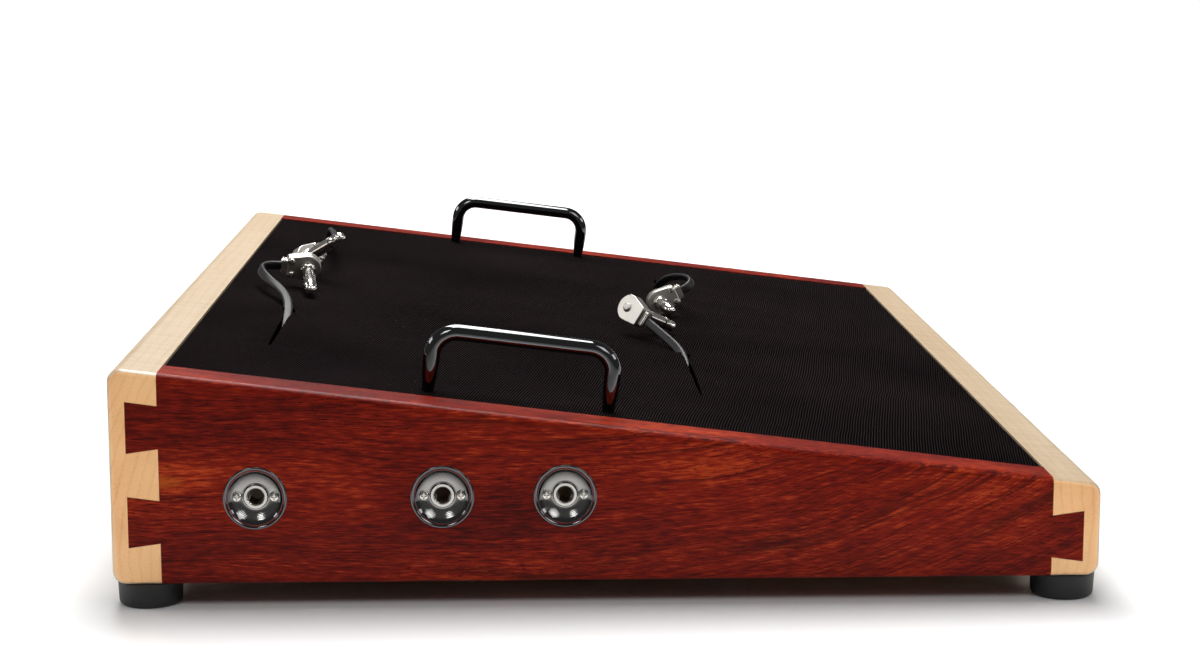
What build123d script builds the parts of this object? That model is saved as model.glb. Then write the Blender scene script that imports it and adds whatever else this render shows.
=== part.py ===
from build123d import *

import math
import os

# A wedge-shaped hardwood pedalboard: four dovetailed rails round a sloping deck that is covered in
# looped cloth, with three recessed jacks in the left end, two wire handles and four patch leads.
# +X is the player's right, +Y the high rear edge, +Z up. The origin is on the floor, under the middle.
# Every length is in millimetres.

# Driving dimensions of the wooden frame.
BOARD_WIDTH = 558.8
BOARD_DEPTH = 406.4
FRONT_HEIGHT = 39.4
REAR_HEIGHT = 90.2
FOOT_HEIGHT = 10.5
STOCK = 20.2
LONG_EDGE_ROUND = 5.5
END_EDGE_ROUND = 3.0

# Half-blind dovetails, listed by the height of each tail's middle above the frame's underside.
TAIL_LENGTH = 13.0
TAIL_WIDE = 21.4
TAIL_NARROW = 17.8
REAR_TAILS = (26.3, 65.6)
FRONT_TAILS = (17.2,)

# Deck, its cloth, and the cleats under it.
DECK_THICKNESS = 12.0
CLOTH_TOP = 1.2
CLOTH_SIDE = 0.8
DECK_GAP = 0.3
CLOTH_RECESS = 0.3
CLEAT = 12.0
SIDE_CLEATS = ((-165.0, -9.0), (86.0, 128.0))
DECK_SCREW_RADIUS = 1.9
DECK_SCREW_X = (-200.0, -67.0, 67.0, 200.0)
DECK_SCREW_HEAD = (4.0, 2.4)
DECK_SCREW_BITE = 8.0

# Slits for the patch cords: across the board, in a rear and a front row.
SLIT_LENGTH = 104.0
SLIT_GAP = 2.2
SLOT_LENGTH = 150.0
SLOT_WIDTH = 11.0
SLIT_MIDDLE = 130.0
REAR_ROW = 147.0
FRONT_ROW = -45.0
EYE_LENGTH = 26.0
EYE_WIDTH = 6.6

# Feet.
FOOT_RADIUS = 13.4
FOOT_TAPER = 0.5
FOOT_SIDE_INSET = 13.8
FOOT_REAR_INSET = 13.7
FOOT_FRONT_INSET = 12.6
FOOT_ROUND = 2.0
FOOT_SCREW_SHANK = 1.8
FOOT_SCREW_BITE = 12.0
FOOT_RECESS_RADIUS = 6.5
FOOT_FLOOR = 4.0
FOOT_WASHER = (5.8, 1.0)
FOOT_SCREW_HEAD = (3.6, 2.2)

# Wire handles, bolted through the deck.
HANDLE_SPAN = 76.2
HANDLE_RISE = 26.1
HANDLE_WIRE = 7.0
HANDLE_BEND = 10.5
HANDLE_INSET = 33.0
HANDLE_Y = 37.1
BOLT_RADIUS = 2.0
BOLT_CLEARANCE = 0.03
BOLT_BITE = 9.0
BOLT_HEAD = (3.8, 2.6)
BOLT_WASHER = (5.0, 0.9)

# Jacks, measured from the left end's outer face.
JACK_Y = {"rear": 144.3, "middle": 68.2, "front": 18.0}
JACK_Z = FOOT_HEIGHT + 36.0
CUP_RIM_RADIUS = 13.0
CUP_BORE_RADIUS = 11.3
CUP_SEAT_DEPTH = 6.2
RIM_STAND = 0.5
WEB = 5.0
POCKET_RADIUS = 15.0
BUSH_RADIUS = 4.75
SOCKET_RADIUS = 3.25
BUSH_FRONT = 2.4
CUP_SCREW_OFFSET = 7.6
CUP_SCREW_SHANK = 1.1
CUP_SCREW_SEAT = 3.4
CUP_SCREW_HEAD = (2.15, 1.9)

# The cup's hollow, as (radius, depth behind the outer face), from the outer edge over the rim to the neck.
CUP_HOLLOW = (
    (13.0, 0.0), (12.85, -0.55), (12.25, -RIM_STAND), (11.5, -0.4), (10.9, -0.35), (10.4, 0.7),
    (9.4, 2.1), (7.4, 3.3), (6.2, 3.75), (5.5, 3.6),
)
CUP_NECK_TOP = 3.1

# The steel frame behind each cup, and the insulated spring on its arm.
FRAME_PLATE = 1.5
FRAME_WIDTH = 15.0
FRAME_CORNER = 2.0
ARM_OFFSET = 9.0
ARM_THICKNESS = 1.2
ARM_WIDTH = 6.4
ARM_END = 46.0
STACK_START = 38.5
STACK_END = 44.0
WAFER = 1.3
SPRING_THICKNESS = 0.5
SPRING_WIDTH = 4.6
SPRING_Z = JACK_Z + ARM_OFFSET - WAFER - SPRING_THICKNESS / 2
TIP_DROP = 2.75
FLEX_GAP = 0.25
LUG_END = 50.0
LUG_HOLE = 0.9

# Patch cables: flat, 4.6 by 2.2, modelled as a round tube of nearly the same section area.
CORD_RADIUS = 1.75

# Nylon saddles under the deck: which cable, and at which point of its route.
CLIP_PLACES = (("rear_right", 4), ("rear_right", 6), ("front_right", 4), ("front_right", 6))
CLIP_LENGTH = 8.0
CLIP_WIDTH = 11.0
CLIP_WALL = 1.6
CLIP_CLEARANCE = 0.5

# Nylon tie on a stick-on base inside the left end.
TIE_Y = 118.0
TIE_BASE = 14.0
TIE_BASE_THICKNESS = 3.0
TIE_BASE_Z = 26.0
TIE_TAIL_BOTTOM = 5.6
TIE_TOP = 34.0
TIE_WIDTH = 3.6
TIE_THICKNESS = 1.3
TIE_HEAD = (4.0, 5.2, 5.0)

# Patch plugs. The housing's outline is a round head, and a neck at the cable's end.
PLUG_RADIUS = 3.17
PLUG_HEAD = 6.8
PLUG_NECK = 5.3
PLUG_NECK_LENGTH = 4.0
PLUG_CORNER = 1.2
PLUG_REACH = 10.5
PLUG_THICKNESS = 6.0
PLUG_EDGE_ROUND = 0.8
PLUG_RELIEF = 3.0
RELIEF_SECTION = (3.4, 7.0)
RIDGE_SECTION = (4.2, 8.4)
RIDGE_STARTS = (1.6, 2.8)
RIDGE_WIDTH = 0.6
COVER_THICKNESS = 1.1
COVER_EDGE_ROUND = 0.5
COVER_RIVET = ((0.0, 0.0), (2.5, 0.0), (2.3, -0.5), (1.5, -0.95), (0.0, -1.1))
PLUG_BORE = 2.2
PLUG_COLLAR = 4.1
COLLAR_HEIGHT = 1.3
PLUG_SCREW_SHANK = 0.8
PLUG_SCREW_HEAD = (1.6, 1.1)
PLUG_SCREW_DEPTH = 3.0
PLUG_SCREWS = ((8.3, -3.5), (8.3, 3.5))
BARREL_LENGTH = 30.2
TIP_CORE = 1.2
TIP_GROOVE = (
    (PLUG_RADIUS, 24.0), (2.2, 26.2), (2.25, 26.7), (2.95, 27.7), (2.9, 28.2),
    (1.0, 30.0), (0.0, BARREL_LENGTH),
)
INSULATOR = (20.4, 21.6)

# Running fit round shanks, and the play round screws that pass through.
SHANK_FIT = 0.02
SHANK_PLAY = 0.2

SLOPE = (REAR_HEIGHT - FRONT_HEIGHT) / BOARD_DEPTH
TILT = math.atan(SLOPE)
HALF_WIDTH = BOARD_WIDTH / 2
HALF_DEPTH = BOARD_DEPTH / 2
BASE_Z = FOOT_HEIGHT
LEFT_FACE = -HALF_WIDTH


def top_z(y):
    """Height of the frame's sloping top plane at that y."""
    return BASE_Z + FRONT_HEIGHT + SLOPE * (y + HALF_DEPTH)


def deck_point(x, y, rise):
    """A point that stands a distance off the cloth, square to the deck."""
    surface = top_z(y) - CLOTH_RECESS / math.cos(TILT)
    return Vector(x, y - rise * math.sin(TILT), surface + rise * math.cos(TILT))


def deck_way(across, up_slope, off):
    """A unit direction given along the deck's own axes."""
    way = Vector(
        across,
        up_slope * math.cos(TILT) - off * math.sin(TILT),
        up_slope * math.sin(TILT) + off * math.cos(TILT),
    )
    return way.normalized()


def deck_plane(x, y, rise=0.0):
    """A plane lying on the deck, with its normal square to the cloth."""
    return Plane(deck_point(x, y, rise), x_dir=(1, 0, 0), z_dir=deck_way(0, 0, 1))


def profile_solid(points, x_low, x_high):
    """A solid of constant section, whose outline is given as (y, z) points."""
    face = Plane.YZ * make_face(Polyline(*points, close=True))
    return Pos(x_low, 0, 0) * extrude(face, amount=x_high - x_low)


def slope_slab(depth_below, thickness, y_low, y_high, x_low, x_high):
    """A slab parallel to the sloping top, with upright ends."""
    upper = -depth_below / math.cos(TILT)
    lower = upper - thickness / math.cos(TILT)
    outline = [
        (y_low, top_z(y_low) + lower),
        (y_high, top_z(y_high) + lower),
        (y_high, top_z(y_high) + upper),
        (y_low, top_z(y_low) + upper),
    ]
    return profile_solid(outline, x_low, x_high)


def rod(start, end, radius):
    """A plain round rod between two points."""
    way = end - start
    plane = Plane(start, z_dir=way)
    return extrude(plane * Circle(radius), amount=way.length)


def turned(plane, outline):
    """A solid turned about the plane's normal, from an outline of (radius, height) points."""
    face = make_face(Polyline(*[(r, 0, h) for r, h in outline], close=True))
    return plane * revolve(face, axis=Axis.Z)


# --- Frame: two wedge-shaped ends in red hardwood between two maple rails ---


def frame_envelope():
    """The whole wedge as one block with its outer edges rounded over."""
    outline = [
        (-HALF_DEPTH, BASE_Z),
        (HALF_DEPTH, BASE_Z),
        (HALF_DEPTH, BASE_Z + REAR_HEIGHT),
        (-HALF_DEPTH, BASE_Z + FRONT_HEIGHT),
    ]
    block = profile_solid(outline, -HALF_WIDTH, HALF_WIDTH)
    block = fillet(block.edges().filter_by(Axis.X), LONG_EDGE_ROUND)
    ends = block.faces().sort_by(Axis.X)
    return fillet(ends[0].edges() + ends[-1].edges(), END_EDGE_ROUND)


def tail(side, height, end):
    """One dovetail, on the rear (side +1) or front (side -1), of the left or right end."""
    root = side * (HALF_DEPTH - STOCK)
    tip = root + side * TAIL_LENGTH
    middle = BASE_Z + height
    outline = [
        (root, middle - TAIL_NARROW / 2),
        (tip, middle - TAIL_WIDE / 2),
        (tip, middle + TAIL_WIDE / 2),
        (root, middle + TAIL_NARROW / 2),
    ]
    low = -HALF_WIDTH if end < 0 else HALF_WIDTH - STOCK
    return profile_solid(outline, low, low + STOCK)


def end_block(end):
    """One wedge-shaped end with its dovetails, before its edges are rounded."""
    low = -HALF_WIDTH if end < 0 else HALF_WIDTH - STOCK
    inner = HALF_DEPTH - STOCK
    outline = [
        (-inner, BASE_Z),
        (inner, BASE_Z),
        (inner, top_z(inner)),
        (-inner, top_z(-inner)),
    ]
    block = profile_solid(outline, low, low + STOCK)
    for height in REAR_TAILS:
        block += tail(1, height, end)
    for height in FRONT_TAILS:
        block += tail(-1, height, end)
    return block


def rail_block(side):
    """The rear (side +1) or front (side -1) rail as a block, before its sockets are cut."""
    inner = side * (HALF_DEPTH - STOCK)
    outer = side * HALF_DEPTH
    outline = [
        (inner, BASE_Z),
        (outer, BASE_Z),
        (outer, top_z(outer)),
        (inner, top_z(inner)),
    ]
    return profile_solid(outline, -HALF_WIDTH, HALF_WIDTH)


def jack_plane(y, depth=0.0):
    """A plane in the left end at a jack, that far behind the outer face, looking inward."""
    return Plane((LEFT_FACE + depth, y, JACK_Z), x_dir=(0, 1, 0), z_dir=(1, 0, 0))


def jack_seat(y):
    """What is bored out of the left end for one jack: cup recess, bush hole, pocket and pilots."""
    recess = extrude(jack_plane(y) * Circle(CUP_BORE_RADIUS), amount=CUP_SEAT_DEPTH)
    hole = extrude(jack_plane(y) * Circle(BUSH_RADIUS + 0.25), amount=STOCK)
    pocket_start = CUP_SEAT_DEPTH + WEB
    pocket = extrude(jack_plane(y, pocket_start) * Circle(POCKET_RADIUS), amount=STOCK - pocket_start)
    pilots = Sketch() + [
        Pos(side * CUP_SCREW_OFFSET, 0) * Circle(CUP_SCREW_SHANK + SHANK_FIT) for side in (-1, 1)
    ]
    pilot_holes = extrude(jack_plane(y, CUP_SEAT_DEPTH) * pilots, amount=WEB - 0.6)
    return recess + hole + pocket + pilot_holes


def wooden_frame():
    envelope = frame_envelope()
    ends = {name: end_block(end) for name, end in (("left", -1), ("right", 1))}
    pieces = {}
    for name, side in (("rear_rail", 1), ("front_rail", -1)):
        rail = rail_block(side)
        for block in ends.values():
            rail -= block
        pieces[name] = rail & envelope
    left = ends["left"] & envelope
    for y in JACK_Y.values():
        left -= jack_seat(y)
    pieces["left_side_panel"] = left
    pieces["right_side_panel"] = ends["right"] & envelope
    foot_holes = [Pos(x, y, BASE_Z) * Cylinder(FOOT_SCREW_SHANK + SHANK_FIT, 2 * FOOT_SCREW_BITE)
                  for x, y in foot_places()]
    for name in pieces:
        for hole in foot_holes:
            pieces[name] -= hole
    return pieces


# --- Deck: plywood board wrapped in cloth, resting on glued cleats ---


def slit_places():
    """The middle of each slit, by name."""
    rows = (("rear", REAR_ROW), ("front", FRONT_ROW))
    sides = (("left", -SLIT_MIDDLE), ("right", SLIT_MIDDLE))
    return {f"{row}_{side}": (x, y) for row, y in rows for side, x in sides}


def through_deck(x, y, sketch):
    """A cutter through cloth and board, square to the deck."""
    return extrude(deck_plane(x, y, 4) * sketch, amount=-(DECK_THICKNESS + 12))


def handle_feet():
    """The middle of each handle leg where it stands on the cloth."""
    half = HANDLE_SPAN / 2 * math.cos(TILT)
    ends = (-HALF_WIDTH + HANDLE_INSET, HALF_WIDTH - HANDLE_INSET)
    return [(x, HANDLE_Y + side * half) for x in ends for side in (-1, 1)]


def deck_screw_places():
    """(x, y) of each screw that holds the deck down on the front and rear cleats."""
    inner = HALF_DEPTH - STOCK - CLEAT / 2
    lean = (DECK_THICKNESS + CLEAT) / 2 * math.sin(TILT)
    return [(x, y - lean) for x in DECK_SCREW_X for y in (-inner, inner)]


def deck_board():
    skin = DECK_GAP + CLOTH_SIDE
    inner_x, inner_y = HALF_WIDTH - STOCK - skin, HALF_DEPTH - STOCK - skin
    board = slope_slab(CLOTH_RECESS + CLOTH_TOP, DECK_THICKNESS, -inner_y, inner_y, -inner_x, inner_x)
    for x, y in slit_places().values():
        board -= through_deck(x, y, SlotOverall(SLOT_LENGTH, SLOT_WIDTH))
    for x, y in handle_feet():
        board -= through_deck(x, y, Circle(BOLT_RADIUS + 0.25))
    for screw in screw_shanks(DECK_SCREW_RADIUS + BOLT_CLEARANCE):
        board -= screw
    return board


def deck_fabric(cord_exits):
    inner_x, inner_y = HALF_WIDTH - STOCK - DECK_GAP, HALF_DEPTH - STOCK - DECK_GAP
    wrap = slope_slab(CLOTH_RECESS, CLOTH_TOP + DECK_THICKNESS, -inner_y, inner_y, -inner_x, inner_x)
    inner_x -= CLOTH_SIDE
    inner_y -= CLOTH_SIDE
    wrap -= slope_slab(CLOTH_RECESS + CLOTH_TOP, DECK_THICKNESS + 1, -inner_y, inner_y, -inner_x, inner_x)
    for name, (x, y) in slit_places().items():
        exit_x, exit_y = cord_exits[name]
        wrap -= through_deck(x, y, SlotOverall(SLIT_LENGTH, SLIT_GAP))
        wrap -= through_deck(exit_x, exit_y, SlotOverall(EYE_LENGTH, EYE_WIDTH))
    for x, y in handle_feet():
        wrap -= through_deck(x, y, Circle(BOLT_RADIUS + 0.25))
    return wrap


def cleats():
    """Square strips glued inside the frame, under the deck."""
    depth = CLOTH_RECESS + CLOTH_TOP + DECK_THICKNESS
    inner_x, inner_y = HALF_WIDTH - STOCK, HALF_DEPTH - STOCK
    pieces = {}
    for name, low, high in (
        ("rear_cleat", inner_y - CLEAT, inner_y),
        ("front_cleat", -inner_y, -inner_y + CLEAT),
    ):
        pieces[name] = slope_slab(depth, CLEAT, low, high, -inner_x, inner_x)
        for screw in screw_shanks(DECK_SCREW_RADIUS + BOLT_CLEARANCE):
            pieces[name] -= screw
    for name, low, high in (
        ("left_cleats", -inner_x, -inner_x + CLEAT),
        ("right_cleats", inner_x - CLEAT, inner_x),
    ):
        blocks = [slope_slab(depth, CLEAT, y_low, y_high, low, high) for y_low, y_high in SIDE_CLEATS]
        pieces[name] = Compound(children=blocks)
    return pieces


def screw_shanks(radius):
    """A plain shank for each deck screw, up through a cleat and into the board."""
    low = -(CLOTH_RECESS + CLOTH_TOP + DECK_THICKNESS + CLEAT)
    shanks = []
    for x, y in deck_screw_places():
        plane = deck_plane(x, y, low - 0.4)
        shanks.append(extrude(plane * Circle(radius), amount=CLEAT + DECK_SCREW_BITE))
    return shanks


def deck_screws():
    low = -(CLOTH_RECESS + CLOTH_TOP + DECK_THICKNESS + CLEAT)
    screws = []
    for (x, y), shank in zip(deck_screw_places(), screw_shanks(DECK_SCREW_RADIUS)):
        head = pan_head(deck_plane(x, y, low - 0.3), DECK_SCREW_HEAD, -1)
        screws.append(shank + head)
    return Compound(children=screws)


def pan_head(plane, size, way):
    """A domed, cross-slotted screw head of that (radius, height), along the plane's normal or (-1) back."""
    radius, height = size
    outline = [
        (0, 0), (radius, 0), (radius, height * 0.35), (radius * 0.9, height * 0.65),
        (radius * 0.72, height * 0.86), (radius * 0.4, height), (0, height),
    ]
    head = turned(Plane.XY, outline)
    slot_length, slot_width = radius * 1.2, radius * 0.26
    cross = Box(slot_length, slot_width, height) + Box(slot_width, slot_length, height)
    head -= Pos(0, 0, height) * cross
    if way < 0:
        head = mirror(head, Plane.XY)
    return plane * head


# --- Feet: moulded rubber, each with a steel washer and a screw in its recess ---

def foot_places():
    xs = (-HALF_WIDTH + FOOT_SIDE_INSET, HALF_WIDTH - FOOT_SIDE_INSET)
    ys = (-HALF_DEPTH + FOOT_FRONT_INSET, HALF_DEPTH - FOOT_REAR_INSET)
    return [(x, y) for y in ys for x in xs]


def foot(x, y):
    top, low = FOOT_RADIUS, FOOT_RADIUS - FOOT_TAPER
    hole, ledge = FOOT_SCREW_SHANK + SHANK_PLAY, FOOT_HEIGHT - FOOT_FLOOR
    outline = [
        (FOOT_RECESS_RADIUS, 0), (low, 0), (top, FOOT_HEIGHT),
        (hole, FOOT_HEIGHT), (hole, ledge), (FOOT_RECESS_RADIUS, ledge),
    ]
    solid = turned(Plane.XY, outline)
    outer_rims = solid.edges().filter_by(GeomType.CIRCLE).filter_by(lambda e: e.radius > low - 0.1)
    solid = fillet(outer_rims.sort_by(Axis.Z)[0], FOOT_ROUND)
    outer_rims = solid.edges().filter_by(GeomType.CIRCLE).filter_by(lambda e: e.radius > top - 0.1)
    solid = chamfer(outer_rims.sort_by(Axis.Z)[-1], FOOT_TAPER)
    return Pos(x, y, 0) * solid


def foot_hardware():
    seat = FOOT_HEIGHT - FOOT_FLOOR
    radius, thickness = FOOT_WASHER
    washers, screws = [], []
    for x, y in foot_places():
        ring = Cylinder(radius, thickness) - Cylinder(FOOT_SCREW_SHANK + SHANK_PLAY, thickness)
        washers.append(Pos(x, y, seat - thickness / 2) * ring)
        under = Vector(x, y, seat - thickness)
        shank = rod(under, Vector(x, y, BASE_Z + FOOT_SCREW_BITE - 1), FOOT_SCREW_SHANK)
        head_plane = Plane(under, x_dir=(1, 0, 0), z_dir=(0, 0, 1))
        screws.append(shank + pan_head(head_plane, FOOT_SCREW_HEAD, -1))
    return Compound(children=washers), Compound(children=screws)


# --- Handles: bent wire, tapped at both ends, with a bolt and washer under the deck ---

def handle(x):
    half = HANDLE_SPAN / 2
    plane = Plane(deck_point(x, HANDLE_Y, 0), x_dir=deck_way(0, 1, 0), z_dir=(1, 0, 0))
    corners = [(-half, 0), (-half, HANDLE_RISE), (half, HANDLE_RISE), (half, 0)]
    route = FilletPolyline(*corners, radius=HANDLE_BEND)
    path = plane * route
    section = Plane(path @ 0, z_dir=path % 0) * Circle(HANDLE_WIRE / 2)
    wire = sweep(section, path=path)
    for side in (-1, 1):
        base = plane.from_local_coords(Vector(side * half, 0, 0))
        wire -= rod(base, base + deck_way(0, 0, 1) * (BOLT_BITE + 0.5), BOLT_RADIUS + BOLT_CLEARANCE)
    return wire


def handle_hardware():
    radius, thickness = BOLT_WASHER
    under = -(CLOTH_TOP + DECK_THICKNESS) - thickness - 0.1
    ring = Circle(radius) - Circle(BOLT_RADIUS + SHANK_PLAY)
    washers, bolts = [], []
    for x, y in handle_feet():
        plane = deck_plane(x, y, under)
        washers.append(extrude(plane * ring, amount=thickness))
        shank = rod(plane.origin, deck_point(x, y, BOLT_BITE), BOLT_RADIUS)
        bolts.append(shank + pan_head(plane, BOLT_HEAD, -1))
    return Compound(children=washers), Compound(children=bolts)


# --- Jacks: spun metal cup, threaded bush on a steel frame, insulators and a tip spring ---

def jack_cup(y):
    """A dish with a rolled rim, a coned floor and a threaded neck that takes the jack's bush."""
    neck = BUSH_RADIUS + 0.03
    wall = CUP_BORE_RADIUS - 0.2
    back = [(neck, CUP_NECK_TOP), (neck, CUP_SEAT_DEPTH), (wall, CUP_SEAT_DEPTH), (wall, 0.0)]
    cup = turned(jack_plane(y), [*back, *CUP_HOLLOW])
    for side in (-1, 1):
        place = jack_plane(y).from_local_coords(Vector(side * CUP_SCREW_OFFSET, 0, 0))
        way = Vector(1, 0, 0)
        cup -= rod(place, place + way * (CUP_SEAT_DEPTH + 1), CUP_SCREW_SHANK + 0.05)
        cup -= rod(place, place + way * CUP_SCREW_SEAT, CUP_SCREW_HEAD[0] + 0.1)
    return cup


def jack_cup_screws():
    length = CUP_SEAT_DEPTH - CUP_SCREW_SEAT + WEB - 1
    screws = []
    for y in JACK_Y.values():
        for side in (-1, 1):
            seat = jack_plane(y, CUP_SCREW_SEAT)
            centre = seat.from_local_coords(Vector(side * CUP_SCREW_OFFSET, 0, 0))
            plane = Plane(centre, x_dir=(0, 1, 0), z_dir=(1, 0, 0))
            shank = rod(centre, centre + Vector(length, 0, 0), CUP_SCREW_SHANK)
            screws.append(shank + pan_head(plane, CUP_SCREW_HEAD, -1))
    return Compound(children=screws)


def jack_frame(y):
    """The bush, its square shoulder and the arm that carries the spring; it is the earth contact."""
    shoulder = CUP_SEAT_DEPTH + WEB
    height = 2 * (ARM_OFFSET + ARM_THICKNESS)
    bush = extrude(jack_plane(y, BUSH_FRONT) * Circle(BUSH_RADIUS), amount=shoulder - BUSH_FRONT)
    plate = jack_plane(y, shoulder) * RectangleRounded(FRAME_WIDTH, height, FRAME_CORNER)
    bush += extrude(plate, amount=FRAME_PLATE)
    arm = Box(ARM_END - shoulder, ARM_WIDTH, ARM_THICKNESS)
    arm_middle = LEFT_FACE + (ARM_END + shoulder) / 2
    bush += Pos(arm_middle, y, JACK_Z + ARM_OFFSET + ARM_THICKNESS / 2) * arm
    bore = extrude(jack_plane(y) * Circle(SOCKET_RADIUS), amount=shoulder + FRAME_PLATE + 1)
    mouth = [(0, 0), (SOCKET_RADIUS + 0.5, 0), (SOCKET_RADIUS, 0.5), (0, 0.5)]
    return bush - bore - turned(jack_plane(y, BUSH_FRONT), mouth)


def jack_insulator(y):
    """Two fibre wafers that hold the tip spring off the arm."""
    middle = (STACK_START + STACK_END) / 2
    length = STACK_END - STACK_START
    upper_z = JACK_Z + ARM_OFFSET - WAFER / 2
    lower_z = upper_z - WAFER - SPRING_THICKNESS
    wafer = Box(length, ARM_WIDTH, WAFER)
    return Compound(children=[Pos(LEFT_FACE + middle, y, z) * wafer for z in (upper_z, lower_z)])


def leaf_strip(y, line, width):
    """A bent strip of spring metal, from (distance behind the outer face, height) points."""
    half = SPRING_THICKNESS / 2
    upper = [(LEFT_FACE + x, h + half) for x, h in line]
    lower = [(LEFT_FACE + x, h - half) for x, h in reversed(line)]
    face = make_face(Polyline(*[(x, 0, h) for x, h in upper + lower], close=True))
    return Pos(0, y, 0) * extrude(face, amount=width / 2, both=True)


def jack_tip_spring(y):
    """The free leaf, bent to a blunt V that drops into the groove of an inserted plug."""
    low = JACK_Z + TIP_DROP
    root = STACK_START - FLEX_GAP
    line = [(root, SPRING_Z), (37.0, SPRING_Z), (30.5, low + 1.4), (27.0, low), (23.5, low + 1.9)]
    return leaf_strip(y, line, SPRING_WIDTH)


def jack_tip_lugs():
    """The clamped root of each spring, with the lug that its wire is soldered to."""
    lugs = []
    for y in JACK_Y.values():
        strip = leaf_strip(y, [(STACK_START, SPRING_Z), (LUG_END, SPRING_Z)], SPRING_WIDTH)
        eye = Cylinder(LUG_HOLE, 2 * SPRING_THICKNESS)
        lugs.append(strip - Pos(LEFT_FACE + LUG_END - 2, y, SPRING_Z) * eye)
    return Compound(children=lugs)


# --- Patch cables: each runs from a jack, along under the deck and up through its slit ---


def cable(points, radius=CORD_RADIUS):
    """A tube along straight runs joined by the largest tangent arcs that the runs allow."""
    radii = []
    for before, here, after in zip(points, points[1:], points[2:]):
        run_in, run_out = here - before, after - here
        half_turn = math.radians(run_in.get_angle(run_out)) / 2
        radii.append(0.45 * min(run_in.length, run_out.length) / math.tan(half_turn))
    path = FilletPolyline(*points, radius=radii)
    section = Plane(path @ 0, z_dir=path % 0) * Circle(radius)
    tube = sweep(section, path=path)
    return tube


# Routes as (x, y, distance off the cloth), from the solder lug to the plug.
CABLE_ROUTES = {
    "rear_left": [
        (-228, 144.3, -38), (-213, 144.8, -36), (-195, 145.6, -29.5), (-174, 146.4, -22), (-152, 147, -15.6),
        (-130, 147.2, -10.6), (-108, 147.1, -6), (-88, 147.2, -1), (-70, 149.6, 3.6), (-55, 155, 5.8),
        (-42, 161.6, 7.2), (-30, 166.6, 8.6), (-19, 168.6, 9.6), (-11.5, 165.4, 10.4), (-10.5, 159, 10.6),
    ],
    "rear_right": [
        (-228, 68.2, -30), (-212, 69.6, -28), (-188, 76, -21.4), (-145, 89, -18), (-92, 103, -17.5),
        (-38, 116, -17.8), (16, 127, -17.6), (68, 136, -18.2), (108, 142, -21.6), (136, 145.6, -28),
        (156, 147, -34.4), (172, 147.2, -37.4), (187, 147.2, -35), (196, 147.2, -27.4), (198, 147.2, -18.4),
        (192.5, 147.1, -10.6), (183, 147, -4.2), (172.5, 146.8, 1.8), (161, 146.2, 7.2), (148, 145, 11),
        (133, 143.4, 12.8), (116, 141.4, 13.2), (98, 139.4, 13.4), (81, 137.8, 14.2), (66, 137, 15.2),
        (54.5, 138.4, 15.2), (48, 143, 12.8),
    ],
    "front_left": [
        (-228, 13, -24), (-213, 11.4, -23.4), (-197, 4, -21), (-182, -9, -18.8), (-167, -23.5, -17.2),
        (-150, -37.5, -17.4), (-131, -44.2, -14.8), (-110, -45.8, -9.6), (-90, -45.3, -3.6), (-73, -42.6, 1.3),
        (-59, -35.4, 5), (-46.5, -26.7, 9.4),
    ],
    "front_right": [
        (-228, 20.5, -25), (-211, 20.8, -25.4), (-186, 16, -22.4), (-144, 6, -18.4), (-92, -6, -17.6),
        (-38, -17.6, -17.8), (14, -27.6, -17.6), (60, -35.8, -19), (92, -40.6, -23.2), (114, -42.8, -29),
        (131, -43.2, -34.6), (145, -43.3, -37), (159, -43.3, -34.4), (167.5, -43.3, -26.6), (168.5, -43.3, -17.6),
        (162.5, -43.3, -10.4), (152, -43.3, -5), (140.5, -43.4, 0), (128, -44, 4.8), (115, -45, 9),
        (101, -46.4, 12.8), (87, -48.4, 15.8), (73.5, -50.8, 18), (61, -53.2, 19.6), (50.5, -54.8, 19.8),
        (44, -54, 17.6), (43.4, -49.6, 14.6),
    ],
}


def route_points(route):
    return [deck_point(*place) for place in route]


def cord_exits():
    """Where each cable comes through the cloth, by slit name."""
    exits = {}
    for name, route in CABLE_ROUTES.items():
        for before, after in zip(route, route[1:]):
            if before[2] < 0 <= after[2]:
                share = before[2] / (before[2] - after[2])
                exits[name] = tuple(a + share * (b - a) for a, b in zip(before[:2], after[:2]))
    return exits


def cable_clips():
    """Nylon saddles glued under the deck, each holding one cable."""
    under = -(CLOTH_TOP + DECK_THICKNESS) - 0.05
    clips = []
    for name, index in CLIP_PLACES:
        x, y, rise = CABLE_ROUTES[name][index]
        before, after = (deck_point(*CABLE_ROUTES[name][index + step]) for step in (-1, 1))
        along = (after - before).normalized()
        across = along.cross(deck_way(0, 0, 1)).normalized()
        outline = Plane(deck_point(x, y, under), x_dir=across, z_dir=along)
        drop = under - rise
        height = drop + CORD_RADIUS + CLIP_WALL
        block = outline * Rectangle(CLIP_WIDTH, height, align=(Align.CENTER, Align.MIN))
        gap = outline * (Pos(0, drop) * Circle(CORD_RADIUS + CLIP_CLEARANCE))
        saddle = extrude(block, amount=CLIP_LENGTH / 2, both=True)
        clips.append(saddle - extrude(gap, amount=CLIP_LENGTH, both=True))
    return Compound(children=clips)


def cable_tie():
    """A nylon tie on its base, with its tail hanging just below the wood's lower edge."""
    inner_face = LEFT_FACE + STOCK
    base = Box(TIE_BASE_THICKNESS, TIE_BASE, TIE_BASE)
    base = Pos(inner_face + TIE_BASE_THICKNESS / 2, TIE_Y, TIE_BASE_Z) * base
    tail_x = inner_face + TIE_BASE_THICKNESS + TIE_THICKNESS / 2
    tail = Box(TIE_THICKNESS, TIE_WIDTH, TIE_TOP - TIE_TAIL_BOTTOM)
    tail = Pos(tail_x, TIE_Y, (TIE_TOP + TIE_TAIL_BOTTOM) / 2) * tail
    head_x = tail_x + (TIE_HEAD[0] - TIE_THICKNESS) / 2
    return base + tail + Pos(head_x, TIE_Y, TIE_TOP - TIE_HEAD[2] / 2) * Box(*TIE_HEAD)


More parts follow.
